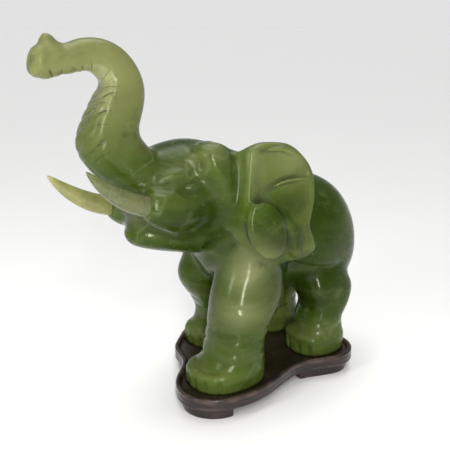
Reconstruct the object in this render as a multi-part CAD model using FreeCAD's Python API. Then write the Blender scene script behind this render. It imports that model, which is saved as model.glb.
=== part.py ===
"""Carved jade elephant with its trunk raised, standing on a carved wood stand.

The frame: millimetres, +Z up. The elephant faces -X and its left side faces -Y. Shapes are drawn from
a point on the table under the middle of the stand, and then moved so that the origin is on the table
under the middle of the whole ornament. Nothing is mirrored by machine: it is a hand carving, so the two
front feet, the two ears and the two tusks differ a little.

The pieces: one carved stone, two tusks glued into drilled sockets in its jaw, and one wood stand.
The stone's feet stand loose in shallow pockets, so it lifts straight up off the stand.
"""
import FreeCAD, Part
import math
import os

V = FreeCAD.Vector

# Driving dimensions, in millimetres.
STAND_HEIGHT = 10.5            # table to the top of the rim
DECK_HEIGHT = 9.0              # table to the deck inside the rim, where the feet stand
POCKET_DEPTH = 0.8             # how far each foot sinks into its pocket
POCKET_GAP = 0.35              # slack round a foot in its pocket
RIM_WIDTH = 2.2
SKIRT_INSET = 2.6              # the skirt stands this far inside the edge of the deck
SKIRT_HEIGHT = 5.0             # table to the underside of the deck
SKIRT_WIDTH = 4.5
ARCH_HEIGHT = 3.4              # height of the cut-outs between the stand's own feet

SOCKET_RADIUS = 2.0            # drilled in the jaw for each tusk
SOCKET_DEPTH = 9.0
CUP_GAP = 0.12                 # slack between the stone and the side of the tusk set into it
TENON_GAP = 0.06               # glue line round the tusk's tenon
TENON_LENGTH = 8.6
TUSK_LENGTH = 33.0             # shoulder to tip, along the chord
TUSK_RADIUS = 4.3
TUSK_FLATNESS = 0.86           # a tusk is this much narrower across than it is deep
TUSK_SAG = 2.6                 # how far the tusk bows below its chord

FAR_EAR_DROP = 10.0            # the head is tilted: its right ear sits this much lower than the left

POCKET_FLOOR = DECK_HEIGHT - POCKET_DEPTH
FOOT_BOTTOM = POCKET_FLOOR + 0.02
BOX_MIDDLE = V(-12.54, -0.56, 0)   # the middle of the whole ornament, from the middle of its stand


def ring(centre, side, up, half_side, half_up, square=2.0, points=12):
    """A closed smooth outline: an ellipse at square=2, nearer a rectangle above that."""
    outline = []
    for i in range(points):
        turn = 2 * math.pi * i / points
        c, s = math.cos(turn), math.sin(turn)
        across = half_side * math.copysign(abs(c) ** (2 / square), c)
        along = half_up * math.copysign(abs(s) ** (2 / square), s)
        outline.append(centre + side * across + up * along)
    curve = Part.BSplineCurve()
    curve.interpolate(Points=outline, PeriodicFlag=True)
    return Part.Wire([curve.toShape()])


def loft(rings):
    solid, ruled, closed, degree = True, False, False, 3
    return Part.makeLoft(rings, solid, ruled, closed, degree)


def body_loft(sections):
    """Sections square to a path in the middle plane: x, y, z, pitch, half width, half height, squareness."""
    rings = []
    for x, y, z, pitch, half_width, half_height, square in sections:
        lean = math.radians(pitch)
        up = V(-math.sin(lean), 0, math.cos(lean))
        rings.append(ring(V(x, y, z), V(0, 1, 0), up, half_width, half_height, square))
    return loft(rings)


def leg_loft(sections):
    """Level sections: x, y, z, half length along X, half width along Y, squareness."""
    return loft([ring(V(x, y, z), V(1, 0, 0), V(0, 1, 0), half_x, half_y, square)
                 for x, y, z, half_x, half_y, square in sections])


def ear_loft(sections):
    """Level sections: z, front edge x and y, back edge x and y, half thickness."""
    rings = []
    for z, front_x, front_y, back_x, back_y, half_thick in sections:
        front, back = V(front_x, front_y, z), V(back_x, back_y, z)
        chord = back - front
        half = chord.Length / 2
        chord.normalize()
        rings.append(ring((front + back) / 2, chord, V(0, 0, 1).cross(chord), half, half_thick, 2.2))
    return loft(rings)


# The carved stone.

def torso():
    return body_loft([
        (-22, 0, 74, 0, 7, 10, 2.0),
        (-17, 0, 72, 0, 17, 20, 2.1),
        (-6, 0, 69, 0, 23, 26, 2.2),
        (14, 0, 66, 0, 24.5, 26, 2.2),
        (30, 0, 65, 0, 26, 28, 2.2),
        (45, 0, 62.5, 0, 25.5, 27.5, 2.2),
        (56, 0, 58, 0, 19.5, 22.5, 2.1),
        (62, 0, 55, 0, 11, 13.5, 2.0),
        (64.5, 0, 54, 0, 4, 5, 2.0),
    ])


def head():
    return body_loft([
        (16, 0, 78, 0, 14, 13, 2.0),
        (6, 0, 83, 0, 20, 20, 2.1),
        (-12, 0, 88, 0, 23, 22, 2.3),
        (-26, 0, 91, 0, 21, 22.5, 2.4),
        (-38, 0, 91, 0, 18.5, 21.5, 2.4),
        (-48, 0, 93, 0, 15, 17, 2.2),
        (-56, 0, 95, 0, 12, 11, 2.1),
    ])


def trunk():
    return body_loft([
        (-42, 0, 93, 142, 9, 9, 2.0),
        (-50.5, 0, 100, 130, 11.5, 11.5, 2.1),
        (-59, 0, 109, 110, 11.5, 12.6, 2.2),
        (-63, 0, 120, 84, 10.8, 12, 2.4),
        (-59.5, 0, 130.5, 72, 10, 10.8, 2.5),
        (-57.3, 0, 138.5, 92, 8.8, 8.8, 2.5),
        (-59.5, 0, 144.5, 124, 7.6, 7.2, 2.4),
        (-65, 0, 148.8, 153, 6.8, 6.3, 2.3),
        (-72, 0, 149.4, 180, 6.3, 5.9, 2.2),
        (-79, 0, 147.8, 186, 5.7, 5.1, 2.1),
        (-85.5, 0, 147.2, 176, 5.4, 5.9, 2.1),
        (-89.5, 0, 147.8, 168, 4.6, 5.6, 2.0),
        (-91.5, 0, 148.2, 165, 2.6, 3.4, 2.0),
    ])


def trunk_finger():
    """The pointed upper lip of the trunk's tip."""
    return body_loft([
        (-79, 0, 147, 125, 3.2, 3.0, 2.0),
        (-83.5, 0, 152, 115, 2.8, 3.0, 2.0),
        (-86, 0, 156.5, 108, 1.0, 1.2, 2.0),
    ])


def lower_jaw():
    return body_loft([
        (-28, 0, 76, 0, 16, 12, 2.1),
        (-40, 0, 76, -2, 13, 9, 2.1),
        (-49, 0, 76.5, -6, 9.5, 6.8, 2.1),
        (-54, 0, 77.2, -8, 6.5, 5.2, 2.0),
        (-56.5, 0, 77.5, -10, 2.5, 2.2, 2.0),
    ])


def tusk_root(y, z):
    """The swelling of the upper lip that a tusk comes out of."""
    return body_loft([
        (-34, y * 0.8, z - 6, -25, 4, 5, 2.0),
        (-44, y, z - 3, -28, 6.8, 8, 2.1),
        (-52, y, z + 0.5, -30, 6, 7, 2.1),
        (-56, y, z + 2.5, -32, 3.6, 4.4, 2.0),
    ])


def leg(foot_x, foot_y, top_x, top_y, top_z, knee_x, girth, toe_reach):
    """A thick leg from inside the body down to a round foot that reaches forward past it."""
    return leg_loft([
        (top_x, top_y, top_z, girth * 1.15, girth * 0.9, 2.1),
        ((top_x + knee_x) / 2, (top_y + foot_y) / 2, top_z - 18, girth * 1.1, girth, 2.1),
        (knee_x, foot_y, 34, girth, girth, 2.2),
        (foot_x + 1, foot_y, 22, girth * 0.96, girth * 0.98, 2.2),
        (foot_x + 1 - toe_reach * 0.2, foot_y, 17.5, girth * 1.0 + toe_reach * 0.2, girth, 2.2),
        (foot_x - toe_reach * 0.5, foot_y, 14, girth + toe_reach * 0.5, girth * 1.04, 2.3),
        (foot_x - toe_reach * 0.5, foot_y, 11, girth + toe_reach * 0.5, girth * 1.03, 2.3),
        (foot_x - toe_reach * 0.5, foot_y, FOOT_BOTTOM, girth + toe_reach * 0.45, girth, 2.3),
    ])


FEET = {
    "left_front": (-17, -19),
    "right_front": (2, 19),
    "left_rear": (35, -17),
    "right_rear": (35, 17),
}
GIRTH = {"left_front": 13.8, "right_front": 12.6, "left_rear": 11.6, "right_rear": 11.6}
TOE_REACH = {"left_front": 6.0, "right_front": 4.0, "left_rear": 2.0, "right_rear": 2.0}


def legs():
    tops = {"left_front": (0, -15, 74, -13), "right_front": (-3, 15, 74, -1),
            "left_rear": (39, -13.6, 62, 40), "right_rear": (39, 13.6, 62, 40)}
    return [leg(*FEET[name], *tops[name], GIRTH[name], TOE_REACH[name]) for name in FEET]


def ear(side, drop):
    """A broad ear that stands out from the neck and away from the shoulder; side is -1 on the left."""
    rows = [
        (63, -3, 32, 5, 35, 1.2),
        (66, -9, 29, 12.5, 37, 2.2),
        (70, -15, 27, 11, 37, 3.4),
        (78, -21, 24.5, 8, 37, 4.4),
        (88, -20, 23, 10, 36.5, 4.4),
        (98, -19, 22, 11.5, 35.5, 4.2),
        (107, -17, 22, 8.5, 34.5, 3.8),
        (112.5, -12, 24, 3, 33, 2.4),
        (114, -8, 26, -2, 31, 1.0),
    ]
    return ear_loft([(z - drop, front_x, side * front_y, back_x, side * back_y, half_thick)
                     for z, front_x, front_y, back_x, back_y, half_thick in rows])


def ear_root(side, drop):
    """The rounded fold in front of the ear, widest at the top of the head."""
    return leg_loft([(x, side * y, z - drop, half_x, half_y, 2.0) for x, y, z, half_x, half_y in (
        (-17, 21, 80, 2, 4),
        (-19.5, 20, 90, 5, 6),
        (-22.5, 18, 100, 8, 8),
        (-24.5, 16, 109, 9, 8.5),
        (-24, 15, 114, 5, 5),
    )])


def tail():
    """The tail lies against the rump, carved in one with it."""
    return body_loft([
        (55, 0, 76, -45, 3, 3, 2.0),
        (62.5, 1, 67, -72, 2.6, 3, 2.0),
        (64.5, 3, 56, -88, 2.3, 2.8, 2.0),
        (61.5, 7, 44, -102, 2.5, 3, 2.0),
        (56, 10.5, 35, -110, 3.2, 3.4, 2.0),
        (51.5, 12, 28, -110, 1.2, 1.4, 2.0),
    ])


# The tusks: where each one's shoulder stands, and the way it points.
TUSKS = {
    "left_tusk": (V(-53.5, -16.5, 91.2), V(-0.84, -0.05, 0.54)),
    "right_tusk": (V(-54.0, 16.5, 84.8), V(-0.86, 0.05, 0.51)),
}


def tusk_frame(name):
    shoulder, forward = TUSKS[name]
    forward = V(forward).normalize()
    side = V(0, 1, 0)
    down = forward.cross(side).normalize()
    if down.z > 0:
        down = -down
    return shoulder, forward, down.cross(forward), down


def tusk_blade(name, extra=0.0):
    """The bare tusk from its shoulder to its tip, thicker all round by `extra`."""
    shoulder, forward, side, down = tusk_frame(name)
    rings = []
    for along, width in ((0, 1.0), (0.25, 0.97), (0.5, 0.82), (0.72, 0.6), (0.88, 0.36), (1.0, 0.1)):
        bow = TUSK_SAG * 4 * along * (1 - along)
        centre = shoulder + forward * (along * TUSK_LENGTH) + down * bow
        radius = TUSK_RADIUS * width
        rings.append(ring(centre, side, down, radius * TUSK_FLATNESS + extra, radius + extra))
    return loft(rings)


def drill(name, radius, depth):
    shoulder, forward, side, down = tusk_frame(name)
    return Part.makeCylinder(radius, depth + 1, shoulder + forward, -forward)


def tusk(name):
    return tusk_blade(name).fuse(drill(name, SOCKET_RADIUS - TENON_GAP, TENON_LENGTH))


def elephant():
    stone = torso()
    pieces = [head(), trunk(), trunk_finger(), lower_jaw(), tail(), ear(-1, 0), ear(1, FAR_EAR_DROP),
              ear_root(-1, 0), ear_root(1, FAR_EAR_DROP)] + legs()
    for name in TUSKS:
        shoulder = TUSKS[name][0]
        pieces.append(tusk_root(shoulder.y, shoulder.z))
    for piece in pieces:
        stone = stone.fuse(piece)
    for name in TUSKS:
        stone = stone.cut(tusk_blade(name, CUP_GAP))
        stone = stone.cut(drill(name, SOCKET_RADIUS, SOCKET_DEPTH))
    return stone


# The stand.

def stand_outline(inset=0.0):
    """The lobed edge of the stand: a lobe round each foot and a waist between them."""
    edge = [V(x, y, 0) for x, y in (
        (-45, -19), (-44, -29), (-38, -36), (-26, -39.5), (-10, -38), (4, -33), (16, -31), (28, -34.5),
        (39, -35.5), (47.5, -29), (50, -17), (48.5, -6), (48.5, 6), (50, 17), (47.5, 29), (39, 35.5),
        (28, 34.5), (16, 34), (2, 37), (-9, 33), (-18, 25), (-25, 16.5), (-27, 9), (-30, 1.5), (-37, -6))]
    moved = []
    for i, point in enumerate(edge):
        tangent = (edge[(i + 1) % len(edge)] - edge[i - 1]).normalize()
        moved.append(point + V(-tangent.y, tangent.x, 0) * inset)
    curve = Part.BSplineCurve()
    curve.interpolate(Points=moved, PeriodicFlag=True)
    return Part.Wire([curve.toShape()])


def slab(inset, low, high):
    face = Part.Face(stand_outline(inset))
    face.translate(V(0, 0, low))
    return face.extrude(V(0, 0, high - low))


def arches():
    """Cut-outs through the skirt, which leave a bracket foot at each corner."""
    width_x, width_y = 44, 30
    along = Part.makeBox(width_x, 200, ARCH_HEIGHT, V(-6 - width_x / 2, -100, 0))
    across = Part.makeBox(200, width_y, ARCH_HEIGHT, V(-100, -width_y / 2, 0))
    return [along, across]


def stand():
    block = slab(0, SKIRT_HEIGHT, STAND_HEIGHT)
    block = block.cut(slab(RIM_WIDTH, DECK_HEIGHT, STAND_HEIGHT + 1))
    skirt = slab(SKIRT_INSET, 0, SKIRT_HEIGHT).cut(slab(SKIRT_INSET + SKIRT_WIDTH, -1, SKIRT_HEIGHT + 1))
    for arch in arches():
        skirt = skirt.cut(arch)
    block = block.fuse(skirt)
    for name, (x, y) in FEET.items():
        girth, toe = GIRTH[name], TOE_REACH[name]
        half_x, half_y = girth + toe * 0.5 + POCKET_GAP, girth * 1.04 + POCKET_GAP
        pocket = leg_loft([(x - toe * 0.5, y, z, half_x, half_y, 2.3)
                           for z in (POCKET_FLOOR, DECK_HEIGHT + 0.5)])
        block = block.cut(pocket)
    return block.removeSplitter()


def main():
    os.makedirs("parts", exist_ok=True)
    shapes = {"jade_elephant": elephant(), "wood_stand": stand()}
    for name in TUSKS:
        shapes[name] = tusk(name)
    for name, shape in shapes.items():
        print(name, shape.isValid(), len(shape.Solids), "solid", round(shape.Volume), "mm3")
        shape = shape.Solids[0]
        shape.translate(-BOX_MIDDLE)
        shape.exportStep("parts/" + name + ".step")


main()
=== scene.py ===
"""Looks of a carved jade elephant with two set-in tusks on a carved wood stand.

Shapes start from the CAD nodes. Each is turned into a distance field on a grid, in millimetres, so that
creases can be filled, folds added and lines cut the way a carver works, and is then meshed again.
"""
import math

import bpy
import numpy as np
import openvdb as vdb
from mathutils import Euler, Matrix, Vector
from mathutils.bvhtree import BVHTree


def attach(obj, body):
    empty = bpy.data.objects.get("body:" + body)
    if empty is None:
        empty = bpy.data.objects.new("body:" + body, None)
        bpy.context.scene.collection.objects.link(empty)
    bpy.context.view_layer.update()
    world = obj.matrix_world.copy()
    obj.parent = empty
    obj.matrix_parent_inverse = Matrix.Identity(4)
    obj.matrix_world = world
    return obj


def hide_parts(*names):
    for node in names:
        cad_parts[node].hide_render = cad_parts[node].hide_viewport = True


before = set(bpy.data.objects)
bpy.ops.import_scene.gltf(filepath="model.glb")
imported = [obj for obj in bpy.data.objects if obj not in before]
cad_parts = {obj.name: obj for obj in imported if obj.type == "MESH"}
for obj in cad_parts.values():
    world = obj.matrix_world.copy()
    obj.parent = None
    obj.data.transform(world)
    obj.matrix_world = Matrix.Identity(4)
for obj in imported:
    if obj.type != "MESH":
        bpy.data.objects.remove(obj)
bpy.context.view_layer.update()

MM = 0.001

# Cells of the grids, in mm. The stone's depth is read on a coarser grid than its skin.
STONE_CELL, TUSK_CELL, STAND_CELL, DEPTH_CELL = 0.7, 0.3, 0.5, 1.4
# How far from the skin each grid holds true distances, in mm.
STONE_REACH, TUSK_REACH, STAND_REACH, DEPTH_REACH = 6, 2.4, 4, 21
# Inside corners of the stone are rounded to this radius, in mm, before anything is carved.
CREASE_RADIUS = 4.0


# Distance fields.

class Field:
    """Signed distances in mm on a grid: negative inside. `low` is the mm position of cell 0, 0, 0."""

    def __init__(self, points, triangles, quads, cell, reach):
        self.cell = cell
        self.reach = reach
        grid = vdb.FloatGrid.createLevelSetFromPolygons(
            points.astype(np.float32),
            triangles=None if triangles is None else triangles.astype(np.uint32),
            quads=None if quads is None else quads.astype(np.uint32),
            transform=vdb.createLinearTransform(voxelSize=cell), halfWidth=reach / cell)
        pad = int(math.ceil(reach / cell)) + 2
        first = np.floor(points.min(axis=0) / cell).astype(int) - pad
        last = np.ceil(points.max(axis=0) / cell).astype(int) + pad
        self.low = first * cell
        self.values = np.zeros(tuple(last - first + 1), np.float32)
        grid.copyToArray(self.values, ijk=tuple(int(i) for i in first))

    def mesh(self, level=0.0):
        """Points in mm, triangles and quads of the surface at this distance."""
        grid = vdb.FloatGrid(self.reach)
        grid.copyFromArray(self.values)
        grid.transform = vdb.createLinearTransform(voxelSize=self.cell)
        points, triangles, quads = grid.convertToPolygons(isovalue=level, adaptivity=0.0)
        return points + self.low, triangles, quads

    def fill_creases(self, radius):
        """Rounds every inside corner to this radius and leaves outside corners alone."""
        points, triangles, quads = self.mesh(radius)
        grown = Field(points, triangles, quads, self.cell, radius + 3)
        grown.values += radius
        return grown

    def soften(self, passes):
        for _ in range(passes):
            for axis in range(3):
                v = self.values
                self.values = (np.roll(v, 1, axis) + 2 * v + np.roll(v, -1, axis)) / 4

    def window(self, low, high):
        """The slices and the coordinates of the cells in a box."""
        start = np.clip(np.floor((np.array(low) - self.low) / self.cell).astype(int), 0, None)
        stop = np.ceil((np.array(high) - self.low) / self.cell).astype(int) + 1
        stop = np.minimum(stop, self.values.shape)
        cut = tuple(slice(a, b) for a, b in zip(start, stop))
        axes = [self.low[i] + self.cell * np.arange(start[i], stop[i]) for i in range(3)]
        shapes = ((-1, 1, 1), (1, -1, 1), (1, 1, -1))
        return cut, [axis.reshape(shape).astype(np.float32) for axis, shape in zip(axes, shapes)]

    def sample(self, points):
        """Distances at scattered points, read between the cells."""
        at = (points - self.low) / self.cell
        at = np.clip(at, 0, np.array(self.values.shape) - 1.001)
        base = at.astype(int)
        part = at - base
        total = np.zeros(len(points))
        for corner in range(8):
            step = np.array([corner & 1, corner >> 1 & 1, corner >> 2 & 1])
            weight = np.prod(np.where(step, part, 1 - part), axis=1)
            total += weight * self.values[tuple((base + step).T)]
        return total


def soft_min(a, b, width):
    overlap = np.maximum(width - np.abs(a - b), 0) / width
    return np.minimum(a, b) - overlap * overlap * width / 4


def soft_max(a, b, width):
    return -soft_min(-a, -b, width)


def rope_distance(coords, points, radii):
    """Distance to a chain of round cones through the points."""
    best = None
    for a, b, ra, rb in zip(points[:-1], points[1:], radii[:-1], radii[1:]):
        along = [b[i] - a[i] for i in range(3)]
        length2 = sum(c * c for c in along)
        t = sum((coords[i] - a[i]) * along[i] for i in range(3)) / length2
        t = np.clip(t, 0, 1)
        gap = np.sqrt(sum((coords[i] - a[i] - t * along[i]) ** 2 for i in range(3)))
        d = gap - (ra + (rb - ra) * t)
        best = d if best is None else np.minimum(best, d)
    return best


def rope_window(field, points, radii, width):
    margin = max(radii) + width + 2 * field.cell
    spots = np.array(points, float)
    return field.window(spots.min(axis=0) - margin, spots.max(axis=0) + margin)


def add_rope(field, points, radii, width=2.0):
    cut, coords = rope_window(field, points, radii, width)
    d = rope_distance(coords, points, radii)
    field.values[cut] = soft_min(field.values[cut], d, width)


def carve_rope(field, points, radii, width=1.0):
    cut, coords = rope_window(field, points, radii, width)
    d = rope_distance(coords, points, radii)
    field.values[cut] = soft_max(field.values[cut], -d, width)


def ellipsoid_distance(coords, centre, radii, turn=(0, 0, 0)):
    """Near enough the distance to a turned ellipsoid; turn is degrees about X, Y and Z."""
    spin = Euler([math.radians(t) for t in turn]).to_matrix().transposed()
    rel = [coords[i] - centre[i] for i in range(3)]
    local = [sum(spin[i][j] * rel[j] for j in range(3)) / radii[i] for i in range(3)]
    k0 = np.sqrt(sum(c * c for c in local))
    k1 = np.sqrt(sum((local[i] / radii[i]) ** 2 for i in range(3))) + 1e-6
    return k0 * (k0 - 1) / k1


def add_lump(field, centre, radii, turn=(0, 0, 0), width=4.0):
    margin = max(radii) + width
    cut, coords = field.window(np.array(centre) - margin, np.array(centre) + margin)
    d = ellipsoid_distance(coords, centre, radii, turn)
    field.values[cut] = soft_min(field.values[cut], d, width)


def carve_lump(field, centre, radii, turn=(0, 0, 0), width=2.0):
    margin = max(radii) + width
    cut, coords = field.window(np.array(centre) - margin, np.array(centre) + margin)
    d = ellipsoid_distance(coords, centre, radii, turn)
    field.values[cut] = soft_max(field.values[cut], -d, width)


def block_distance(coords, centre, half, turn, rounding):
    """Distance to a rounded box."""
    spin = Euler([math.radians(t) for t in turn]).to_matrix().transposed()
    rel = [coords[i] - centre[i] for i in range(3)]
    out = [np.abs(sum(spin[i][j] * rel[j] for j in range(3))) - (half[i] - rounding) for i in range(3)]
    gap = np.sqrt(sum(np.maximum(o, 0) ** 2 for o in out))
    return gap + np.minimum(np.maximum(np.maximum(out[0], out[1]), out[2]), 0) - rounding


def carve_block(field, centre, half, turn, rounding, width):
    margin = sum(half) + width
    cut, coords = field.window(np.array(centre) - margin, np.array(centre) + margin)
    d = block_distance(coords, centre, half, turn, rounding)
    field.values[cut] = soft_max(field.values[cut], -d, width)


def add_puck(field, centre, half, power, rounding, width):
    """A flat-topped disc with a rounded rim; the power squares its outline."""
    margin = max(half) + width + 2
    cut, coords = field.window(np.array(centre) - margin, np.array(centre) + margin)
    rel = [np.abs(coords[i] - centre[i]) for i in range(3)]
    across = ((rel[0] / half[0]) ** power + (rel[1] / half[1]) ** power) ** (1 / power)
    flat = (across - 1) * min(half[0], half[1]) + rounding
    tall = rel[2] - half[2] + rounding
    gap = np.sqrt(np.maximum(flat, 0) ** 2 + np.maximum(tall, 0) ** 2)
    d = gap + np.minimum(np.maximum(flat, tall), 0) - rounding
    field.values[cut] = soft_min(field.values[cut], d, width)


# Meshes.

def node_arrays(name):
    """A CAD node's points in mm, and its triangles."""
    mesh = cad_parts[name].data
    mesh.calc_loop_triangles()
    points = np.empty(len(mesh.vertices) * 3, np.float32)
    mesh.vertices.foreach_get("co", points)
    triangles = np.empty(len(mesh.loop_triangles) * 3, np.int32)
    mesh.loop_triangles.foreach_get("vertices", triangles)
    return points.reshape(-1, 3) / MM, triangles.reshape(-1, 3)


def node_field(name, cell, reach):
    points, triangles = node_arrays(name)
    return Field(points, triangles, None, cell, reach)


def piece_from(name, field):
    points, triangles, quads = field.mesh()
    faces = quads.tolist() + triangles.tolist()
    mesh = bpy.data.meshes.new(name)
    mesh.from_pydata((points * MM).tolist(), [], faces)
    mesh.update()
    mesh.shade_smooth()
    piece = bpy.data.objects.new(name, mesh)
    bpy.context.scene.collection.objects.link(piece)
    return piece


# The stone. Places are in mm in the frame's axes: -X is forward, -Y is the elephant's left.

FAR_EAR_DROP = 10.0
LEFT, RIGHT = -1, 1


def mirrored(points, side, drop=0.0):
    """Points given for the left side, moved to this side and down."""
    return [(x, -side * y, z - drop) for x, y, z in points]


def skin_points(tree, spots, side):
    """Where level lines across the body, at these x and z, first meet the skin from this side, and the
    way the skin faces there. Both are None for a line that misses."""
    found = []
    for x, z in spots:
        hit, normal, _, _ = tree.ray_cast(Vector((x, side * 90, z)), Vector((0, -side, 0)))
        found.append((hit, normal))
    return found


def curve_through(points, steps=6):
    """A smooth line of points through these (Catmull-Rom)."""
    points = [np.array(p, float) for p in points]
    ends = [2 * points[0] - points[1]] + points + [2 * points[-1] - points[-2]]
    line = []
    for p0, p1, p2, p3 in zip(ends[:-3], ends[1:-2], ends[2:-1], ends[3:]):
        for step in range(steps):
            t = step / steps
            line.append(0.5 * (2 * p1 + (p2 - p0) * t + (2 * p0 - 5 * p1 + 4 * p2 - p3) * t * t
                               + (3 * p1 - p0 - 3 * p2 + p3) * t ** 3))
    line.append(points[-1])
    return [tuple(p) for p in line]


def tapered(count, full, ends=0.35):
    """Radii that swell from the ends of a stroke to its middle."""
    return [full * (ends + (1 - ends) * math.sin(math.pi * i / (count - 1)) ** 0.6) for i in range(count)]


def cut_line(field, tree, spots, side, radius=0.7, depth=0.5, width=0.8):
    """A carved line along the skin of one side."""
    line = [hit + normal * (radius - depth) for hit, normal in skin_points(tree, spots, side)]
    line = curve_through(line)
    carve_rope(field, line, tapered(len(line), radius), width)


def shape_body(field):
    for side in (LEFT, RIGHT):
        # Haunch and shoulder muscles, which overhang the legs.
        add_lump(field, (43, side * 15.5, 61), (13, 10.5, 13.5), (0, -20, 0), 5)
        add_lump(field, (46, side * 17, 40), (9, 10, 9), (0, -15, 0), 5)
        add_lump(field, (10, side * 19, 66), (13, 9, 15), (0, 15, 0), 7)
        add_lump(field, (56, side * 17, 32), (5, 7, 6), (0, 0, 0), 5)
    # The hollow of the neck behind the ears.
    carve_lump(field, (27, 0.5, 102), (11, 16, 7.5), (0, 12, 0), 7)


def shape_head(field):
    for side in (LEFT, RIGHT):
        # The root of the tusk, the brow, the hollow temple and the eye in its socket.
        add_lump(field, (-35, side * 15.5, 88.5), (8, 5, 5.5), (0, 30, 0), 5)
        add_lump(field, (-26, side * 15.8, 88), (10, 5.2, 8), (0, 20, side * 8), 6)
        add_lump(field, (-28.5, side * 13.5, 103), (8.5, 3.6, 1.7), (0, -14, side * 14), 2.2)
        carve_lump(field, (-25.5, side * 18.2, 107.2), (6.5, 3.4, 4.4), (side * 30, 0, 0), 2.4)
        carve_lump(field, (-24, side * 20.8, 97.4), (6.5, 2.6, 3), (0, -14, side * 18), 1.8)
        add_lump(field, (-23.6, side * 17.4, 97.3), (3.2, 1.9, 1.7), (0, -14, side * 14), 0.8)
        # The notch behind the crown, in front of the ear's root.
        notch = [(-8, side * 3, 117.6), (-6.5, side * 14, 116.2), (-5.6, side * 23, 110)]
        carve_rope(field, notch, [2.4, 3, 2], 2.5)


def shape_ear(field, side, drop):
    def spots(points):
        return mirrored(points, side, drop)

    # The rim of the blade, thin and turned outward.
    rim = curve_through(spots([
        (4, -31.5, 111.6), (11, -34.2, 111.4), (18.3, -35.6, 107), (22.4, -36.6, 100.6),
        (23.4, -37.2, 92), (22.2, -37.2, 83), (20.5, -37, 77)]))
    add_rope(field, rim, tapered(len(rim), 1.1, 0.7), 2.4)
    # The blade is dished, and its lower half lies a step deeper, under a curved fold.
    carve_lump(field, spots([(12.8, -41.8, 103)])[0], (9.0, 3.4, 10), (0, 0, side * 20), 5)
    carve_lump(field, spots([(13.4, -42.0, 89.5)])[0], (10.0, 5.2, 9.2), (0, -8, side * 16), 2.5)
    lip = curve_through(spots([
        (2.6, -33.2, 95.6), (7.5, -35.4, 98.2), (14, -36.9, 99.3), (21.5, -37.2, 98.8)]))
    add_rope(field, lip, tapered(len(lip), 0.9, 0.4), 1.8)
    # The ridge that runs down the blade's front edge.
    ridge = curve_through(spots([
        (-0.4, -26.6, 111.5), (-2.0, -27.8, 103), (-3.2, -28.3, 94), (-3.8, -29, 86)]))
    add_rope(field, ridge, tapered(len(ridge), 1.8, 0.7), 5)
    # The top slopes down to the notch in front of the ear.
    carve_lump(field, spots([(-2.8, -26, 117.4)])[0], (7, 11, 4.8), (0, 0, 0), 2.5)
    # The deep fold between the ear and the root, and the crease on the root's cheek side.
    fold = curve_through(spots([
        (-6.6, -21.5, 115), (-6.4, -25.3, 105), (-7.6, -27, 96), (-9.2, -27.6, 88)]))
    carve_rope(field, fold, tapered(len(fold), 1.9, 0.6), 2.4)
    crease = curve_through(spots([
        (-22.5, -18.5, 112), (-19, -23.2, 104), (-14.5, -26, 96), (-10.5, -27.4, 89)]))
    carve_rope(field, crease, tapered(len(crease), 1.6, 0.5), 2.2)
    # The ruffled lobes under the blade: a front one like a leaf, and pleats running back from it.
    add_lump(field, spots([(2.2, -35.2, 79)])[0], (7.6, 3.0, 12.5), (side * 5, -16, side * 14), 2.4)
    side_fold = curve_through(spots([
        (-3.8, -31.8, 89), (-5.4, -33.2, 82), (-3.6, -34.4, 75), (0.5, -35, 69)]))
    add_rope(field, side_fold, tapered(len(side_fold), 1.9, 0.5), 2.4)
    pleats = (((10, -35.6, 84), (15.5, -36.6, 68), 2.5), ((16.5, -35.6, 84), (24.4, -36.2, 68.6), 2.1))
    for top, foot, size in pleats:
        bulge = (1.2, -0.8, 0)
        middle = tuple((a + b) / 2 + c for a, b, c in zip(top, foot, bulge))
        pleat = curve_through(spots([top, middle, foot]))
        radii = [size * (0.45 + 0.55 * i / (len(pleat) - 1)) for i in range(len(pleat))]
        add_rope(field, pleat, radii, 1.8)
    # The valleys between the lobe and the pleats.
    valley = curve_through(spots([(6, -38.8, 91.5), (9.8, -39.2, 85), (11, -39.4, 77), (9.8, -39, 68)]))
    carve_rope(field, valley, tapered(len(valley), 1.4, 0.5), 1.2)
    valley = curve_through(spots([(14, -39, 84), (18, -39.6, 76), (20.6, -39, 67)]))
    carve_rope(field, valley, tapered(len(valley), 1.1, 0.4), 1.2)


# The x and z of the trunk's middle line, from the forehead to the tip, and the plane it lies in.
TRUNK_LINE = [(-47, 109), (-50.4, 120), (-47, 130.5), (-44.8, 138.5), (-47, 144.5), (-52.5, 148.8),
              (-59.5, 149.4), (-66.5, 147.8), (-73, 147.2), (-79, 148)]
TRUNK_Y = 0.5
# The trunk's radius at distances along that line.
TRUNK_RADIUS = ([0, 12, 24, 34, 42, 50, 60, 75, 90], [12, 11.6, 10.4, 8.6, 7.0, 6.2, 5.8, 5.2, 5.6])


def along_trunk(spots):
    """How far up the trunk each spot is, how far out, and how far towards the underside, in trunk radii."""
    line = np.array(curve_through([(x, TRUNK_Y, z) for x, z in TRUNK_LINE], 8))
    best = np.full(len(spots), 1e9)
    run = np.zeros(len(spots))
    under = np.zeros(len(spots))
    travelled = 0.0
    for a, b in zip(line[:-1], line[1:]):
        length = np.linalg.norm(b - a)
        ahead = (b - a) / length
        down = np.array([-ahead[2], 0, ahead[0]])
        rel = spots - a
        t = np.clip(rel @ ahead, 0, length)
        off = rel - t[:, None] * ahead
        gap = np.einsum("ij,ij->i", off, off)
        closer = gap < best
        best[closer] = gap[closer]
        run[closer] = travelled + t[closer]
        under[closer] = off[closer] @ down
        travelled += length
    radius = np.interp(run, *TRUNK_RADIUS)
    return run, np.sqrt(best) / radius, under / radius


# The slanted cuts across the underside of the trunk.
RING_SPACING = 3.9
RING_SLANT = 0.5
RING_HALF_WIDTH = 0.8
RING_DEPTH = 0.75
# How far the trunk swells between the cuts.
RING_SWELL = 0.45
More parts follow.
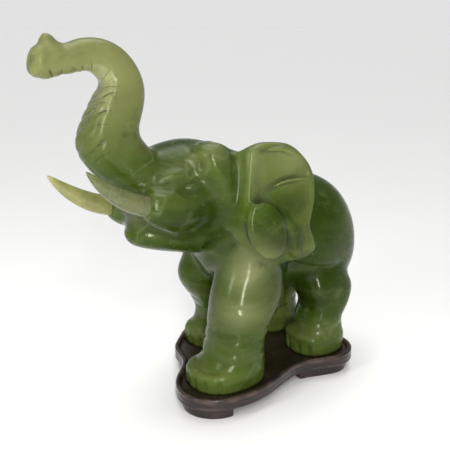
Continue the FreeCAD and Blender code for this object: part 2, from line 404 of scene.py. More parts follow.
# More rings than the trunk has: the ring layer counts in parts of this many.
RING_COUNT = 40


def ring_places(spots):
    """How many rings up the slanted cuts each spot is, and how strong the cuts are there."""
    run, _, under = along_trunk(spots)
    rings = (run + RING_SLANT * spots[:, 1] + 0.5 * np.sin(run * 0.9)) / RING_SPACING
    below = np.clip((under - 0.42) / 0.2, 0, 1)
    strength = below * np.clip((run - 2) / 6, 0, 1) * np.clip((86 - run) / 8, 0, 1)
    return rings, strength


def shape_trunk(field):
    # Tightens the inside of the bend under the hook.
    carve_block(field, (-60.0, 3.5, 130.6), (4, 16, 11.5), (0, 31, -8), 2.0, 3.0)
    cut, coords = field.window((-90, -20, 98), (-30, 21, 160))
    spots = np.stack([g.ravel() for g in np.broadcast_arrays(*coords)], axis=1)
    values = field.values[cut].ravel()
    near = (np.abs(values) < 4) & (spots[:, 0] < -33)
    rings, strength = ring_places(spots[near])
    off = np.abs(rings % 1 - 0.5) * RING_SPACING
    values[near] += strength * (RING_DEPTH * np.clip(1 - off / RING_HALF_WIDTH, 0, 1) - RING_SWELL)
    field.values[cut] = values.reshape(field.values[cut].shape)


def shape_trunk_tip(field):
    # The upper finger, the flared mouth and the two nostrils.
    finger = [(-71.5, TRUNK_Y, 149.5), (-73.0, TRUNK_Y, 154), (-74.0, TRUNK_Y, 157.6)]
    add_rope(field, finger, [5.6, 3.0, 0.4], 0.8)
    add_lump(field, (-77.4, TRUNK_Y, 147.4), (3, 5.4, 5.4), (0, 12, 0), 2)
    add_lump(field, (-72.5, TRUNK_Y, 145.2), (3.6, 4.2, 3.2), (0, 0, 0), 1.5)
    carve_lump(field, (-82.5, TRUNK_Y, 149), (3.4, 3.4, 4), (0, 10, 0), 1.2)
    for side in (LEFT, RIGHT):
        carve_lump(field, (-81, TRUNK_Y + side * 1.7, 148.4), (3.6, 1.1, 1.5), (0, 0, 0), 0.6)


# Each leg: its middle, and how far it reaches from there.
LEGS = {"left_front": (-4.5, -18.4, 15.2), "right_front": (13, 19.6, 13.8),
        "left_rear": (49, -16.4, 12.6), "right_rear": (49, 17.6, 12.6)}
# Heights of the creases that go round the legs below the knees.
FRONT_CREASES, REAR_CREASES = (33.0, 27.5, 21.5), (21.5, 24.8)


def shape_legs(field):
    for name, (x, y, reach) in LEGS.items():
        for height in FRONT_CREASES if "front" in name else REAR_CREASES:
            carve_crease(field, (x, y, height), reach)


def carve_crease(field, centre, reach):
    """A shallow, broken groove that goes round a leg and wavers about one height."""
    x, y, z = centre
    low, high = (x - reach - 8, y - reach - 4, z - 4), (x + reach + 8, y + reach + 4, z + 4)
    cut, coords = field.window(low, high)
    sway = 0.9 * np.sin((coords[0] - x) / 6.0) + 0.7 * np.cos((coords[1] - y) / 5.0)
    close = np.clip(1 - np.abs(coords[2] - z - sway) / 1.0, 0, 1)
    patch = 0.45 + 0.55 * np.sin(coords[0] * 0.35 + coords[1] * 0.27 + z)
    field.values[cut] = field.values[cut] + close * np.clip(patch, 0, 1)


# Each foot: its middle, half its length and half its width.
FEET = {"left_front": (-7.5, -18.4, 17.4, 14.2), "right_front": (12.5, 19.6, 14.4, 12.8),
        "left_rear": (46.6, -16.4, 12.8, 12.2), "right_rear": (46.6, 17.6, 12.8, 12.2)}
# Where the toes part, in degrees round from the tail, and how squared the row of toes is.
FRONT_TOE_CUTS, REAR_TOE_CUTS = (140, 163, 186, 209, 232), (140, 165, 195, 220)
TOE_POWER = 2.5


def shape_feet(field):
    for name, (x, y, half_x, half_y) in FEET.items():
        # A squared toe block with a step on top, then upright cuts between the toes.
        if "front" in name:
            turns = FRONT_TOE_CUTS
            add_puck(field, (x - 0.2, y, 12.4), (half_x, half_y, 4.4), TOE_POWER, 1.8, 1.2)
        else:
            turns = REAR_TOE_CUTS
            add_puck(field, (x, y, 13.4), (half_x + 0.4, half_y + 0.2, 5.0), 2.7, 2.0, 1.4)
        for turn in turns:
            cos, sin = math.cos(math.radians(turn)), math.sin(math.radians(turn))
            squared = (abs(cos) ** TOE_POWER + abs(sin) ** TOE_POWER) ** (-1 / TOE_POWER)
            px, py = x + half_x * squared * cos, y + half_y * squared * sin
            top = (x + (px - x) * 0.93, y + (py - y) * 0.93, 15.5)
            carve_rope(field, [(px, py, 8.5), (px, py, 12), top], [0.8, 0.7, 0.3], 0.9)


UPPER_LID = [(-30, 97.8), (-26.6, 99), (-22.5, 99.4), (-18, 100.4), (-14.5, 100)]
LOWER_LID = [(-28.4, 96.6), (-25.8, 95.4), (-21.7, 95), (-18.6, 96.8)]
MOUTH = [(-42, 79), (-36, 78.6), (-31, 79), (-26, 79.6), (-22.5, 82.4), (-19.2, 86)]
FLANK_FOLD = [(20, 58.5), (27, 56.3), (37, 53), (46, 51), (55, 51)]
TRUNK_ROOT = [(-44, 101), (-39, 97.5), (-35, 96)]
# Wrinkles across each foreleg, one over the knee and three below it: height, half width and sag.
WRINKLES = ((46.8, 9.5, 2.8), (35.6, 9.0, 1.4), (31.2, 8.5, 1.2), (25.2, 8.5, 1.0))


def carve_lines(field, tree):
    for side in (LEFT, RIGHT):
        cut_line(field, tree, UPPER_LID, side, 0.9, 0.7)
        cut_line(field, tree, LOWER_LID, side, 0.7, 0.45)
        cut_line(field, tree, MOUTH, side, 0.9, 0.75)
        cut_line(field, tree, FLANK_FOLD, side, 1.1, 0.9, 1.6)
        cut_line(field, tree, TRUNK_ROOT, side, 0.7, 0.4)
    for side, middle in ((LEFT, -5.5), (RIGHT, 13.0)):
        for top, half_width, sag in WRINKLES:
            line = [(middle + half_width * part, top - sag * (1 - part * part))
                    for part in (-1, -0.5, 0, 0.5, 1)]
            hits = [hit for hit, _ in skin_points(tree, line, side)]
            on_leg = [spot for spot, hit in zip(line, hits) if hit and side * hit.y > 0]
            if len(on_leg) > 2:
                cut_line(field, tree, on_leg, side, 0.8, 0.55)
    # The mouth goes round the front of the lower lip.
    lip = [(-43.5, -4, 78.3), (-44.6, TRUNK_Y, 78.4), (-43.5, 5, 78.3)]
    carve_rope(field, lip, [1.0, 1.1, 1.0], 0.8)


def shape_tail(field):
    tail = curve_through([
        (69, 0.5, 78), (75.4, 1.6, 67.5), (77.2, 3.6, 56), (74.4, 7.6, 44.5), (69, 11.2, 35.5)])
    add_rope(field, tail, [2.6] * len(tail), 1.8)
    tuft = [(70, 10.8, 37), (67, 12.2, 32), (64.4, 12.8, 27.5)]
    add_rope(field, tuft, [2.6, 3.3, 1.2], 1.4)
    for shift in (-1.2, 1.0):
        carve_rope(field, [(x + 2.6, y + shift, z) for x, y, z in tuft], [0.3, 0.6, 0.3], 0.6)


def field_tree(field):
    points, triangles, quads = field.mesh()
    return BVHTree.FromPolygons(points.tolist(), quads.tolist() + triangles.tolist())


def make_stone():
    field = node_field("jade_elephant", STONE_CELL, STONE_REACH)
    field.soften(1)
    field = field.fill_creases(CREASE_RADIUS)
    shape_body(field)
    shape_head(field)
    shape_trunk(field)
    shape_trunk_tip(field)
    shape_ear(field, LEFT, 0)
    shape_ear(field, RIGHT, FAR_EAR_DROP)
    shape_legs(field)
    shape_feet(field)
    shape_tail(field)
    carve_lines(field, field_tree(field))
    field.soften(1)
    return field


def place(piece, node, body):
    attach(piece, body)
    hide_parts(node)


# What the materials need to know about each point of the stone.

def vertex_arrays(piece):
    mesh = piece.data
    count = len(mesh.vertices)
    points, normals = np.empty(count * 3, np.float32), np.empty(count * 3, np.float32)
    mesh.vertices.foreach_get("co", points)
    mesh.vertices.foreach_get("normal", normals)
    return points.reshape(-1, 3) / MM, normals.reshape(-1, 3)


def store(piece, name, values):
    layer = piece.data.attributes.new(name, "FLOAT", "POINT")
    layer.data.foreach_set("value", np.clip(values, 0, 1).astype(np.float32))


def depth_of_stone(field, points, normals):
    """1 where there is much stone behind the skin, towards 0 where it is thin; the jade's colour paints a
    glow of light through the thin stone.
    """
    skin, triangles, quads = field.mesh()
    deep = Field(skin, triangles if len(triangles) else None, quads, DEPTH_CELL, DEPTH_REACH)
    reaches = (4, 8, 13, 19)
    total = sum(np.clip(-deep.sample(points - normals * reach) / reach, 0, 1) for reach in reaches)
    return total / len(reaches)


def hollows(field, points, normals):
    """1 in the bottom of folds and cuts, 0 on open skin."""
    reaches = (1.2, 2.4, 4.0)
    total = sum(np.clip(1 - field.sample(points + normals * reach) / reach, 0, 1) for reach in reaches)
    return total / len(reaches)


# Soft patches of paler, greyer stone: centre, radii and strength.
PALE_PATCHES = [
    # The left foreleg, from the shoulder down, and the other feet.
    ((-6, -34, 60), (12, 14, 12), 1.0), ((-7, -30, 44), (12, 12, 7), 0.6),
    ((-12, -22, 28), (14, 14, 5), 0.10), ((-12, -20, 12), (16, 16, 6), 0.30),
    ((12, 20, 12), (18, 16, 9), 0.50), ((46, -17, 12), (16, 16, 8), 0.22), ((46, 17, 12), (16, 16, 9), 0.40),
    # The ear's ridge and blade, the rump, the crown and the brow.
    ((0, -29, 104), (4.5, 6, 15), 0.60), ((12, -36, 106), (11, 7, 7), 0.50),
    ((60, -8, 74), (7, 14, 16), 0.35), ((-14, -20, 112), (7, 7, 6), 0.35), ((-24, -16, 107), (8, 6, 5), 0.25)]
# Soft patches of painted shade in deeper green, where the body is shaded, and the deeper green stone of the
# ear's rim.
SHADE_AND_DEEP_GREEN_PATCHES = [
    # Painted shade on the hind legs, the flank, the belly and the forelegs.
    ((46, -18, 42), (18, 17, 14), 1.0), ((46, 18, 42), (18, 17, 14), 0.8), ((24, -32, 60), (16, 14, 9), 1.0),
    ((44, -16, 68), (20, 14, 14), 0.35), ((20, 0, 44), (26, 20, 10), 0.8), ((-8, -24, 30), (14, 12, 6), 0.35),
    ((12, 20, 45), (14, 14, 14), 0.4),
    # Painted shade on the cheeks and the throat.
    ((-30, -16, 84), (20, 12, 10), 0.8), ((-24, 16, 80), (16, 12, 10), 0.5), ((-20, 0, 72), (14, 18, 8), 0.5),
    # The left ear: painted shade under its fold and on its lobes, and its deeper green rim.
    ((12, -38, 88), (12, 8, 8.5), 0.75), ((8, -37, 75), (19, 9, 11), 0.75),
    ((23.5, -37, 106), (4.5, 5, 11), 0.85), ((14, -35, 114.5), (9, 5, 2.4), 0.7)]
# Rust coloured stains: centre, radii and strength.
STAINS = [((-40, -9, 112), (3.2, 3, 2.2), 0.9), ((39.5, -27, 8.6), (6, 4, 1.6), 0.8),
          ((6, -34, 8.6), (5, 4, 1.2), 0.5), ((60, 12, 30), (5, 6, 7), 0.4)]


def patches(points, places):
    total = np.zeros(len(points))
    for centre, radii, strength in places:
        gap = (((points - centre) / radii) ** 2).sum(axis=1)
        total = np.maximum(total, strength * np.exp(-gap))
    return total


def add_stone_layers(piece, field):
    points, normals = vertex_arrays(piece)
    store(piece, "depth", depth_of_stone(field, points, normals))
    store(piece, "hollow", hollows(field, points, normals))
    store(piece, "pale", patches(points, PALE_PATCHES))
    store(piece, "dark", patches(points, SHADE_AND_DEEP_GREEN_PATCHES))
    # Painted glow: brighter and yellower towards the top of the trunk, as if lit through from above.
    painted_glow_up_trunk = np.clip((points[:, 2] - 104) / 36, 0, 1) * np.clip((-30 - points[:, 0]) / 6, 0, 1)
    store(piece, "upper", 0.95 * painted_glow_up_trunk)
    run, _, under = along_trunk(points)
    in_front = np.clip((-40 - points[:, 0]) / 6, 0, 1)
    below = np.clip((under - 0.50) / 0.18, 0, 1)
    facet = below * np.clip((run - 14) / 10, 0, 1) * np.clip((58 - run) / 8, 0, 1)
    store(piece, "facet", facet * in_front)
    rings, strength = ring_places(points)
    store(piece, "rings", rings / RING_COUNT)
    store(piece, "ring_strength", strength * in_front)
    store(piece, "stain", patches(points, STAINS))


# Materials.

# Linear colours. The jade's colour runs with its depth as painted light: thin stone is painted bright and
# yellow as if glowing with light through it, thick stone deep green.
JADE_PAINTED_GLOW_BY_DEPTH = [(0.10, (0.086, 0.112, 0.022)), (0.30, (0.063, 0.096, 0.012)), (0.55, (0.044, 0.078, 0.006)),
                 (0.78, (0.030, 0.058, 0.003)), (0.97, (0.020, 0.042, 0.002))]
# Of these, the deep colour is painted shade, the colour up the trunk a painted glow, and the colour in the
# cuts painted shade with dirt.
JADE = {
    "up the trunk": (0.160, 0.170, 0.064), "trunk's underside": (0.235, 0.250, 0.120),
    "deep": (0.006, 0.014, 0.001), "pale": (0.215, 0.225, 0.108), "wisp": (0.092, 0.116, 0.036),
    "vein": (0.170, 0.195, 0.090), "clot": (0.011, 0.022, 0.003), "salt": (0.130, 0.150, 0.070),
    "band": (0.100, 0.118, 0.040), "speck": (0.012, 0.014, 0.006), "crack": (0.02, 0.032, 0.008),
    "rust": (0.095, 0.045, 0.012), "cut_shade_and_grime": (0.012, 0.018, 0.004)}
TUSK_BY_CLOUD = [(0.3, (0.160, 0.166, 0.055)), (0.5, (0.225, 0.226, 0.078)), (0.7, (0.290, 0.284, 0.120))]
TUSK = {"left": (0.052, 0.070, 0.028), "streak": (0.24, 0.235, 0.14), "cut_shade_and_grime": (0.035, 0.038, 0.014)}
WOOD_BY_GRAIN = [(0.30, (0.006, 0.0035, 0.0028)), (0.48, (0.013, 0.007, 0.005)),
                 (0.60, (0.024, 0.011, 0.008)), (0.75, (0.042, 0.019, 0.013))]
WOOD = {"pore": (0.006, 0.003, 0.002), "rubbed": (0.075, 0.048, 0.036), "dust": (0.05, 0.042, 0.034)}


def set_stops(ramp, stops):
    ramp.elements.remove(ramp.elements[1])
    ramp.elements[0].position = stops[0][0]
    ramp.elements[0].color = (*stops[0][1], 1)
    for position, colour in stops[1:]:
        ramp.elements.new(position).color = (*colour, 1)


class Shader:
    """A material's nodes, with short calls for the kinds that are used here."""

    def __init__(self, name):
        self.material = bpy.data.materials.new(name)
        self.material.use_nodes = True
        self.tree = self.material.node_tree
        self.surface = self.tree.nodes["Principled BSDF"]
        self.place = self.tree.nodes.new("ShaderNodeTexCoord").outputs["Object"]

    def put(self, socket, value):
        if isinstance(value, bpy.types.NodeSocket):
            self.tree.links.new(value, socket)
        else:
            socket.default_value = value

    def set(self, **values):
        for name, value in values.items():
            self.put(self.surface.inputs[name.replace("_", " ")], value)

    def scaled(self, factors, vector=None):
        node = self.tree.nodes.new("ShaderNodeVectorMath")
        node.operation = "MULTIPLY"
        self.put(node.inputs[0], vector or self.place)
        node.inputs[1].default_value = factors
        return node.outputs[0]

    def warped(self, scale, amount):
        """Places pushed about by a slow noise, in metres."""
        push = self.tree.nodes.new("ShaderNodeTexNoise")
        push.inputs["Scale"].default_value = scale
        push.inputs["Detail"].default_value = 3
        self.put(push.inputs["Vector"], self.place)
        node = self.tree.nodes.new("ShaderNodeVectorMath")
        node.operation = "MULTIPLY_ADD"
        self.put(node.inputs[0], push.outputs["Color"])
        node.inputs[1].default_value = (amount,) * 3
        self.put(node.inputs[2], self.place)
        return node.outputs[0]

    def noise(self, scale, detail=4.0, rough=0.5, vector=None):
        node = self.tree.nodes.new("ShaderNodeTexNoise")
        node.inputs["Scale"].default_value = scale
        node.inputs["Detail"].default_value = detail
        node.inputs["Roughness"].default_value = rough
        self.put(node.inputs["Vector"], vector or self.place)
        return node.outputs["Fac"]

    def cells(self, scale, vector=None):
        node = self.tree.nodes.new("ShaderNodeTexVoronoi")
        node.inputs["Scale"].default_value = scale
        self.put(node.inputs["Vector"], vector or self.place)
        return node.outputs["Distance"]

    def layer(self, name):
        node = self.tree.nodes.new("ShaderNodeAttribute")
        node.attribute_name = name
        return node.outputs["Fac"]

    def axis(self, name, vector=None):
        node = self.tree.nodes.new("ShaderNodeSeparateXYZ")
        self.put(node.inputs[0], vector or self.place)
        return node.outputs[name]

    def sum(self, operation, *values):
        node = self.tree.nodes.new("ShaderNodeMath")
        node.operation = operation
        for socket, value in zip(node.inputs, values):
            self.put(socket, value)
        return node.outputs[0]

    def span(self, value, low, high, to_low=0.0, to_high=1.0):
        node = self.tree.nodes.new("ShaderNodeMapRange")
        node.interpolation_type = "SMOOTHSTEP"
        for name, number in (("From Min", low), ("From Max", high), ("To Min", to_low), ("To Max", to_high)):
            node.inputs[name].default_value = number
        self.put(node.inputs["Value"], value)
        return node.outputs["Result"]

    def ramp(self, value, stops):
        node = self.tree.nodes.new("ShaderNodeValToRGB")
        set_stops(node.color_ramp, stops)
        self.put(node.inputs["Fac"], value)
        return node.outputs["Color"]

    def mix(self, factor, a, b):
        node = self.tree.nodes.new("ShaderNodeMix")
        node.data_type = "RGBA"
        self.put(node.inputs["Factor"], factor)
        for socket, value in ((node.inputs[6], a), (node.inputs[7], b)):
            self.put(socket, value if isinstance(value, bpy.types.NodeSocket) else (*value, 1))
        return node.outputs[2]

    def bump(self, height, distance, strength=1.0, under=None):
        node = self.tree.nodes.new("ShaderNodeBump")
        node.inputs["Strength"].default_value = strength
        node.inputs["Distance"].default_value = distance * MM
        self.put(node.inputs["Height"], height)
        if under:
            self.put(node.inputs["Normal"], under)
        return node.outputs["Normal"]


def ridges(shader, noise, width):
    """1 along the thin lines where a noise passes its middle."""
    off = shader.sum("ABSOLUTE", shader.sum("SUBTRACT", noise, 0.5))
    return shader.span(off, 0.0, width, 1.0, 0.0)


def line_across(shader, height_mm, thickness_mm, x_range_mm):
    """1 on a wavering level crack in the stone's left flank."""
    height = shader.sum("ADD", shader.axis("Z"), shader.sum("MULTIPLY", shader.noise(90, 3), 0.004))
    off = shader.sum("ABSOLUTE", shader.sum("SUBTRACT", height, (height_mm + 2) * MM))
    line = shader.span(off, 0.0, thickness_mm * MM, 1.0, 0.0)
    x = shader.axis("X")
    inside = shader.sum("MULTIPLY", shader.span(x, (x_range_mm[0] - 3) * MM, x_range_mm[0] * MM),
                        shader.span(x, x_range_mm[1] * MM, (x_range_mm[1] + 3) * MM, 1.0, 0.0))
    left = shader.span(shader.axis("Y"), -12 * MM, -6 * MM, 1.0, 0.0)
    return shader.sum("MULTIPLY", line, shader.sum("MULTIPLY", inside, left))


def ring_lines(shader):
    """1 on the fine dark lines of painted shade in the cuts across the trunk."""
    part = shader.sum("FRACT", shader.sum("MULTIPLY", shader.layer("rings"), RING_COUNT))
    off = shader.sum("ABSOLUTE", shader.sum("SUBTRACT", part, 0.5))
    broken = shader.span(shader.noise(120, 3), 0.38, 0.55)
    line = shader.sum("MULTIPLY", shader.span(off, 0.02, 0.10, 1.0, 0.0), broken)
    return shader.sum("MULTIPLY", line, shader.layer("ring_strength"))


def jade_material():
    s = Shader("green_jade")
    drift = s.warped(22, 0.02)
    clouds = s.noise(42, 6, 0.6, drift)
    # Painted glow: the colour follows the stone's depth, bright and yellow where thin stone would be lit
    # through, deep green where it is thick.
    depth = s.sum("ADD", s.layer("depth"), s.span(clouds, 0.3, 0.7, -0.12, 0.12))
    colour = s.ramp(depth, JADE_PAINTED_GLOW_BY_DEPTH)
    # Painted glow, yellower and brighter up the trunk where light comes through it from above, and painted
    # shade, deeper green, in the shaded places.
    colour = s.mix(s.layer("upper"), colour, JADE["up the trunk"])
    facet = s.sum("MULTIPLY", s.layer("facet"), s.span(clouds, 0.25, 0.6, 0.45, 0.95))
    colour = s.mix(facet, colour, JADE["trunk's underside"])
    # Painted shade: deeper green in the shaded patches, and the ear rim's deeper green stone.
    deep = s.sum("MULTIPLY", s.layer("dark"), s.span(clouds, 0.3, 0.6, 0.7, 1.0))
    colour = s.mix(deep, colour, JADE["deep"])
    # Paler, greyer stone, in banded clouds.
    bands = s.noise(30, 5, 0.55, s.scaled((0.6, 0.6, 2.2), drift))
    pale = s.sum("MULTIPLY", s.layer("pale"), s.span(bands, 0.32, 0.62, 0.35, 1.0))
    colour = s.mix(pale, colour, JADE["pale"])
    # Milky wisps and fine pale veins.
    wisps = s.span(s.noise(60, 7, 0.65, s.scaled((1.0, 1.0, 1.8), drift)), 0.52, 0.74, 0.0, 0.55)
    colour = s.mix(wisps, colour, JADE["wisp"])
    lines = ridges(s, s.noise(26, 4, 0.5, drift), 0.02)
    veins = s.sum("MULTIPLY", lines, s.span(s.noise(18), 0.45, 0.62, 0, 0.28))
    colour = s.mix(veins, colour, JADE["vein"])
    # Darker green clots.
    clots = s.span(s.noise(75, 5, 0.6, drift), 0.58, 0.75, 0.0, 0.55)
    colour = s.mix(clots, colour, JADE["clot"])
    # A fine salt of pale crystals, and the level banding of the block.
    salt = s.span(s.noise(520, 5, 0.7, drift), 0.58, 0.72, 0.0, 0.35)
    colour = s.mix(salt, colour, JADE["salt"])
    banding = s.noise(14, 4, 0.6, s.scaled((0.7, 0.7, 5.5), drift))
    colour = s.mix(s.span(banding, 0.45, 0.70, 0.0, 0.38), colour, JADE["band"])
    # Dark specks, the two cracks in the flank, rust stains, and painted shade in the folds and cuts, standing
    # also for polish and dirt left there.
    dots = s.span(s.cells(210, drift), 0.06, 0.11, 1.0, 0.0)
    specks = s.sum("MULTIPLY", dots, s.span(s.noise(35), 0.60, 0.66))
    colour = s.mix(specks, colour, JADE["speck"])
    cracks = s.sum("MAXIMUM", line_across(s, 59.3, 0.28, (49, 62)), line_across(s, 50.6, 0.22, (47, 60)))
    colour = s.mix(s.sum("MULTIPLY", cracks, 0.7), colour, JADE["crack"])
    stain = s.sum("MULTIPLY", s.layer("stain"), s.span(s.noise(160, 4), 0.35, 0.6))
    colour = s.mix(stain, colour, JADE["rust"])
    cut_shade_and_grime = s.sum("MAXIMUM", s.span(s.layer("hollow"), 0.30, 0.75, 0.0, 0.62),
                  s.sum("MULTIPLY", ring_lines(s), 0.7))
    colour = s.mix(cut_shade_and_grime, colour, JADE["cut_shade_and_grime"])
    # A hand polish: slow facets, fine rubbing marks, and hair scratches in places.
    facets = s.bump(s.cells(85, s.warped(40, 0.008)), 0.5, 0.20)
    rubbed = s.bump(s.noise(420, 5, 0.6, s.scaled((1.0, 1.0, 2.5))), 0.10, 0.35, facets)
    scratches = ridges(s, s.noise(38, 2, 0.4, s.scaled((1.0, 1.0, 9.0), s.warped(60, 0.004))), 0.010)
    rubbed = s.bump(s.sum("MULTIPLY", scratches, s.span(s.noise(30), 0.5, 0.6)), -0.06, 0.6, rubbed)
    s.set(Base_Color=colour, Normal=rubbed, IOR=1.55, Subsurface_Weight=0.5, Subsurface_Scale=0.0035,
          Subsurface_Radius=(1.0, 1.2, 0.4), Specular_IOR_Level=0.17, Specular_Tint=(0.97, 1.0, 0.80, 1))
    s.set(Roughness=s.sum("ADD", s.span(s.noise(55, 5, 0.6), 0.35, 0.7, 0.15, 0.30),
                          s.span(s.layer("hollow"), 0.2, 0.7, 0.0, 0.25)))
    return s.material


def pale_jade_material():
    s = Shader("pale_jade")
    drift = s.warped(60, 0.006)
    colour = s.ramp(s.noise(70, 6, 0.6, s.scaled((1.6, 1.0, 1.0), drift)), TUSK_BY_CLOUD)
    # The left tusk was cut from greener stone than the right one.
    greener = s.span(s.axis("Y"), -6 * MM, 6 * MM, 0.75, 0.0)
    colour = s.mix(greener, colour, TUSK["left"])
    streaks = ridges(s, s.noise(90, 5, 0.6, drift), 0.02)
    colour = s.mix(s.sum("MULTIPLY", streaks, 0.25), colour, TUSK["streak"])
    # Painted shade, with dirt, in the tusk's hollows.
    cut_shade_and_grime = s.span(s.layer("hollow"), 0.25, 0.7, 0.0, 0.6)
    colour = s.mix(cut_shade_and_grime, colour, TUSK["cut_shade_and_grime"])
    s.set(Base_Color=colour, IOR=1.55, Subsurface_Weight=0.5, Subsurface_Scale=0.004,
          Subsurface_Radius=(1.0, 1.0, 0.5), Specular_IOR_Level=0.4,
          Roughness=s.span(s.noise(120, 4), 0.35, 0.65, 0.14, 0.28),
          Normal=s.bump(s.noise(300, 4), 0.08, 0.3))
    return s.material


def wood_material():
    s = Shader("dark_carved_wood")
    drift = s.warped(30, 0.006)
    grain = s.noise(70, 8, 0.65, s.scaled((0.35, 3.2, 3.2), drift))
    colour = s.ramp(grain, WOOD_BY_GRAIN)
    pores = s.span(s.noise(420, 4, 0.6, s.scaled((0.12, 2.0, 2.0), drift)), 0.60, 0.70)
    colour = s.mix(s.sum("MULTIPLY", pores, 0.7), colour, WOOD["pore"])
    rubbed = s.sum("MULTIPLY", s.span(s.layer("edge"), 0.25, 0.7), s.span(s.noise(130, 5), 0.40, 0.62))
    colour = s.mix(s.sum("MULTIPLY", rubbed, 0.7), colour, WOOD["rubbed"])
    dust = s.sum("MULTIPLY", s.layer("hollow"), s.span(s.noise(240, 5), 0.4, 0.7, 0.0, 0.35))
    colour = s.mix(dust, colour, WOOD["dust"])
    normal = s.bump(grain, 0.22, 0.35)
    normal = s.bump(pores, -0.12, 0.5, normal)
    s.set(Base_Color=colour, Normal=normal, IOR=1.5, Specular_IOR_Level=0.35,
          Coat_Weight=0.25, Coat_Roughness=0.12,
          Roughness=s.span(s.noise(90, 5), 0.3, 0.7, 0.24, 0.46))
    return s.material


# Pieces.

def give_material(piece, material, *nodes):
    """Gives the material to the piece and to the plain CAD nodes that it stands for."""
    piece.data.materials.append(material)
    for node in nodes:
        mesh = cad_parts[node].data
        mesh.materials.clear()
        mesh.materials.append(material)


def make_tusk(node):
    field = node_field(node, TUSK_CELL, TUSK_REACH)
    field.soften(2)
    piece = piece_from(node + "_stone", field)
    points, normals = vertex_arrays(piece)
    store(piece, "hollow", hollows(field, points, normals))
    place(piece, node, "elephant")
    return piece


# Grooves round the stand's edge, two beside a bead and one above the feet: height, half width and depth.
MOULDINGS = ((8.9, 0.6, 0.45), (6.7, 0.7, 0.6), (3.4, 0.5, 0.3))


def make_stand():
    field = node_field("wood_stand", STAND_CELL, STAND_REACH)
    height = (field.low[2] + field.cell * np.arange(field.values.shape[2])).reshape(1, 1, -1)
    for level, half_width, depth in MOULDINGS:
        field.values += (depth * np.clip(1 - np.abs(height - level) / half_width, 0, 1)).astype(np.float32)
    field.soften(1)
    piece = piece_from("carved_stand", field)
    points, normals = vertex_arrays(piece)
    store(piece, "hollow", hollows(field, points, normals))
    reaches = (1.0, 2.0)
    total = sum(np.clip(1 + field.sample(points - normals * reach) / reach, 0, 1) for reach in reaches)
    store(piece, "edge", total / len(reaches))
    place(piece, "wood_stand", "stand")
    return piece


jade, pale_jade, wood = jade_material(), pale_jade_material(), wood_material()
stone_field = make_stone()
stone = piece_from("elephant_stone", stone_field)
add_stone_layers(stone, stone_field)
place(stone, "jade_elephant", "elephant")
give_material(stone, jade, "jade_elephant")
for tusk_node in ("left_tusk", "right_tusk"):
    give_material(make_tusk(tusk_node), pale_jade, tusk_node)
give_material(make_stand(), wood, "wood_stand")


# Floor, lights and camera.

# The sky's brightness at parts of the way from the skyline to straight up.
SKY = [(0.0, 0.762), (0.04, 0.762), (0.20, 0.32), (0.55, 0.26), (1.0, 0.60)]
# Metres from the middle of the floor to its edges.
FLOOR_REACH = 40.0
# Degrees, and mm from the point that the camera looks at.
CAMERA_AZIMUTH, CAMERA_ELEVATION, CAMERA_DISTANCE = -35, 16, 310
CAMERA_AIM = (0.5, -6.4, 75)
CAMERA_LENS, CAMERA_SENSOR = 56.3, 36


def add_world():
    """Bright at the skyline, where it meets the floor, dimmer above it, and brighter again overhead."""
    world = bpy.data.worlds.new("studio")
    world.use_nodes = True
    nodes, links = world.node_tree.nodes, world.node_tree.links
    split = nodes.new("ShaderNodeSeparateXYZ")
    links.new(nodes.new("ShaderNodeTexCoord").outputs["Generated"], split.inputs[0])
    ramp = nodes.new("ShaderNodeValToRGB")
    set_stops(ramp.color_ramp, [(position, (level,) * 3) for position, level in SKY])
    links.new(split.outputs["Z"], ramp.inputs["Fac"])
    links.new(ramp.outputs["Color"], nodes["Background"].inputs["Color"])
    bpy.context.scene.world = world


def sun_light(name, azimuth, elevation, power, spread):
    data = bpy.data.lights.new(name, "SUN")
    data.energy = power
    data.angle = math.radians(spread)
    lamp = bpy.data.objects.new(name, data)
    az, el = math.radians(azimuth), math.radians(elevation)
    away = Vector((math.sin(az) * math.cos(el), -math.cos(az) * math.cos(el), math.sin(el)))
    lamp.rotation_euler = away.to_track_quat("Z", "Y").to_euler()
    bpy.context.scene.collection.objects.link(lamp)


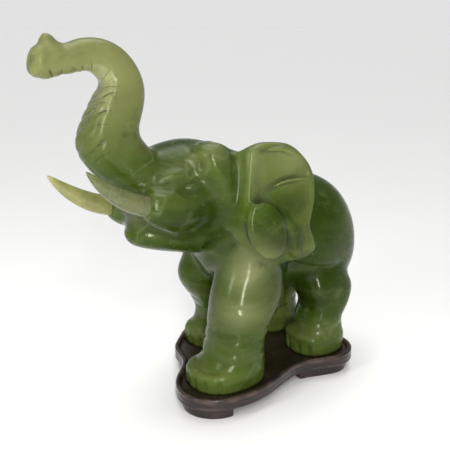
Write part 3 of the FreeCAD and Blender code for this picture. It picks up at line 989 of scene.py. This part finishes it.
def area_light(name, place_mm, aim_mm, size, power, colour=(1, 1, 1)):
    data = bpy.data.lights.new(name, "AREA")
    data.shape = "RECTANGLE"
    data.size, data.size_y = size[0] * MM, size[1] * MM
    data.energy = power
    data.color = colour
    lamp = bpy.data.objects.new(name, data)
    lamp.location = Vector(place_mm) * MM
    lamp.rotation_euler = (Vector(aim_mm) - Vector(place_mm)).to_track_quat("-Z", "Y").to_euler()
    bpy.context.scene.collection.objects.link(lamp)


def add_camera():
    """A close view from the elephant's front left, a little above its head."""
    azimuth, elevation = math.radians(CAMERA_AZIMUTH), math.radians(CAMERA_ELEVATION)
    back = Vector((math.sin(azimuth) * math.cos(elevation), -math.cos(azimuth) * math.cos(elevation),
                   math.sin(elevation)))
    data = bpy.data.cameras.new("camera")
    data.lens = CAMERA_LENS
    data.sensor_width = CAMERA_SENSOR
    data.clip_start, data.clip_end = 0.01, 20
    camera = bpy.data.objects.new("camera", data)
    camera.location = (Vector(CAMERA_AIM) + back * CAMERA_DISTANCE) * MM
    camera.rotation_euler = back.to_track_quat("Z", "Y").to_euler()
    bpy.context.scene.collection.objects.link(camera)
    bpy.context.scene.camera = camera


def add_floor():
    mesh = bpy.data.meshes.new("floor")
    corners = [(x * FLOOR_REACH, y * FLOOR_REACH, 0) for x, y in ((-1, -1), (1, -1), (1, 1), (-1, 1))]
    mesh.from_pydata(corners, [], [(0, 1, 2, 3)])
    floor = bpy.data.objects.new("floor", mesh)
    bpy.context.scene.collection.objects.link(floor)
    material = bpy.data.materials.new("pale_floor")
    material.use_nodes = True
    shader = material.node_tree.nodes["Principled BSDF"]
    shader.inputs["Base Color"].default_value = (0.86, 0.86, 0.855, 1)
    shader.inputs["Roughness"].default_value = 0.6
    mesh.materials.append(material)


bpy.context.scene.view_settings.view_transform = "Standard"
add_world()
sun_light("overhead", 150, 70, 1.7, 50)
area_light("strip", (-235, -390, 215), (0, -20, 62), (13, 320), 2.0, (1.0, 0.98, 0.92))
area_light("window", (-150, -300, 420), (-10, 0, 90), (60, 60), 0.3)
area_light("side", (-420, -60, 280), (0, 0, 90), (90, 200), 0.6)
add_floor()
add_camera()
